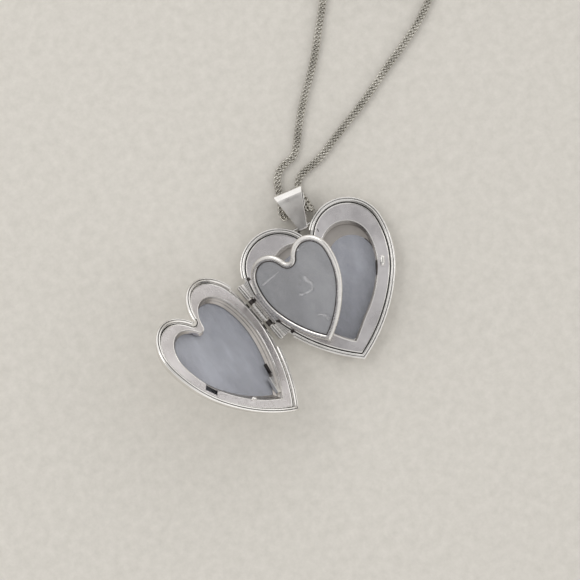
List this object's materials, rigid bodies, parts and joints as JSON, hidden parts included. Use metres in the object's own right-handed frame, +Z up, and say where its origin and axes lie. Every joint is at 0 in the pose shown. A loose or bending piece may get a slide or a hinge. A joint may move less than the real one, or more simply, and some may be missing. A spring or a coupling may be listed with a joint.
{
  "type": "heart locket on a chain",
  "caption": "Open heart-shaped picture locket with a hinged cover, a swinging double-sided picture page, a folded bail and a curb neck chain with a spring-ring clasp.",
  "frame": {"origin": "on the flat resting face of the back shell, on the heart's line of symmetry, level with the point where the hinge pin's line crosses that face's X axis", "axes": "+Z up out of the opened back shell, +Y along the heart's line of symmetry towards the cleft and the bail, +X away from the hinge"},
  "size_m": [0.0721, 0.0764, 0.02],
  "materials": {
    "polished_silver": "polished silver, warm, lightly worn",
    "satin_silver": "fine satin silver",
    "chain_silver": "polished silver, slightly tarnished between the links",
    "clear_film": "clear acetate over a grey card",
    "picture_card": "blue-grey card",
    "spring_steel": "bare spring wire"
  },
  "bodies": {
    "case": {"back_shell": "polished_silver", "back_rim": "polished_silver", "back_knuckle_upper": "polished_silver", "back_knuckle_lower": "polished_silver", "hinge_pin": "polished_silver", "catch_lug": "polished_silver", "bail_pin": "polished_silver", "clasp_body": "polished_silver", "jump_ring": "polished_silver", "end_ring": "polished_silver", "back_frame": "satin_silver", "back_window_film": "clear_film", "back_picture": "picture_card", "chain_left": "chain_silver", "chain_at_bail": "chain_silver", "chain_right": "chain_silver", "chain_coil": "chain_silver", "chain_tail": "chain_silver", "clasp_spring": "spring_steel"},
    "cover": {"cover_shell": "polished_silver", "cover_rim": "polished_silver", "cover_knuckle": "polished_silver", "cover_pip": "polished_silver", "cover_frame": "satin_silver", "cover_window_film": "clear_film", "cover_picture": "picture_card"},
    "page": {"page_frame": "polished_silver", "page_knuckle_upper": "polished_silver", "page_knuckle_lower": "polished_silver", "page_film_upper": "clear_film", "page_film_lower": "clear_film", "page_picture": "picture_card"},
    "bail": {"bail": "polished_silver"},
    "bolt": {"clasp_bolt": "polished_silver"}
  },
  "joints": [
    {"name": "cover_hinge", "type": "hinge", "parent": "case", "child": "cover", "pos_m": [-0.01187, 0, 0.0025], "axis": [0.257, -0.9664, 0], "range_deg": [-134.9, 40.1]},
    {"name": "page_swing", "type": "hinge", "parent": "case", "child": "page", "pos_m": [-0.01187, 0, 0.0025], "axis": [0.257, -0.9664, 0], "range_deg": [-39.11, 11.65]},
    {"name": "bail_swing", "type": "hinge", "parent": "case", "child": "bail", "pos_m": [0, 0.0096, 0.00185], "axis": [1, 0, 0], "range_deg": [0, 50], "deforming": ["chain_at_bail"]},
    {"name": "bolt_slide", "type": "hinge", "parent": "case", "child": "bolt", "pos_m": [0.0203, 0.0498, 0.00095], "axis": [0, 0, 1], "range_deg": [0, 55], "stiffness_Nm_per_rad": 0.00002, "springref_deg": -28.65, "deforming": ["clasp_spring"]}
  ],
  "couplings": [
    {"joint": "page_swing", "follows": "cover_hinge", "ratio": 0.28984}
  ]
}
